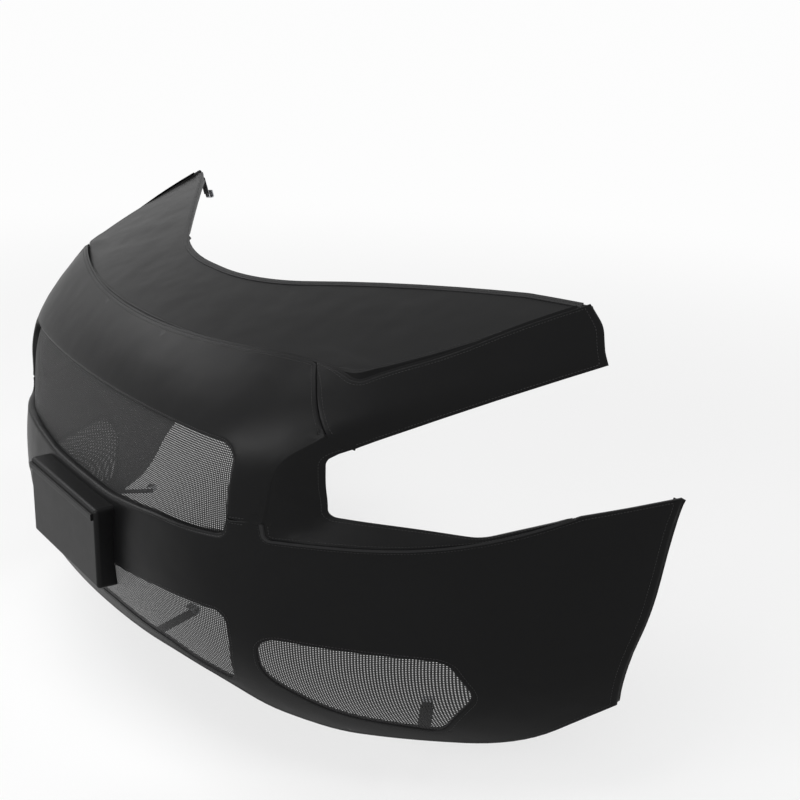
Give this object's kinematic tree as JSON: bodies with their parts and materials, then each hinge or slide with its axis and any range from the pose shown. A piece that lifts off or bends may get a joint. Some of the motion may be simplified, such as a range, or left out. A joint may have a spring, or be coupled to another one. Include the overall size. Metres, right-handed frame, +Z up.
{
  "type": "front end cover",
  "caption": "Sewn black vinyl cover for a sedan's front end, in an upper and a lower piece, with screened openings, lamp notches, a plate pocket and strap hooks.",
  "frame": {"origin": "middle of the edge where the upper and the lower piece meet, at the front of the hood", "axes": "+X to the left side of the vehicle, +Y to its rear, +Z up"},
  "size_m": [1.8306, 0.7921, 0.8045],
  "materials": {
    "vinyl": "satin black vinyl with a fine grain",
    "tape": "black binding tape",
    "mesh": "fine black open mesh",
    "webbing": "black woven webbing",
    "steel": "zinc plated steel",
    "brass": "blackened brass"
  },
  "bodies": {
    "root": {"hood_panel": "vinyl", "hood_front_hem": "vinyl", "nose_panel": "vinyl", "nose_top_hem": "vinyl", "bumper_panel": "vinyl", "bottom_hem": "vinyl", "grille_lip": "vinyl", "pocket_yoke": "vinyl", "plate_pocket": "vinyl", "pocket_lip": "vinyl", "flap_hems": "vinyl", "lamp_hems": "vinyl", "arch_flanges": "vinyl", "brow_panel_left": "vinyl", "brow_panel_right": "vinyl", "lamp_bay_panel_left": "vinyl", "lamp_bay_panel_right": "vinyl", "hood_rear_binding": "tape", "ledge_piping": "tape", "grille_screen": "mesh", "lower_screens": "mesh", "strap_inner_left": "webbing", "strap_inner_right": "webbing", "strap_outer_left": "webbing", "strap_outer_right": "webbing", "tip_strap_left": "webbing", "tip_strap_right": "webbing", "strap_hooks": "steel", "arch_eyelets": "brass"}
  },
  "joints": []
}
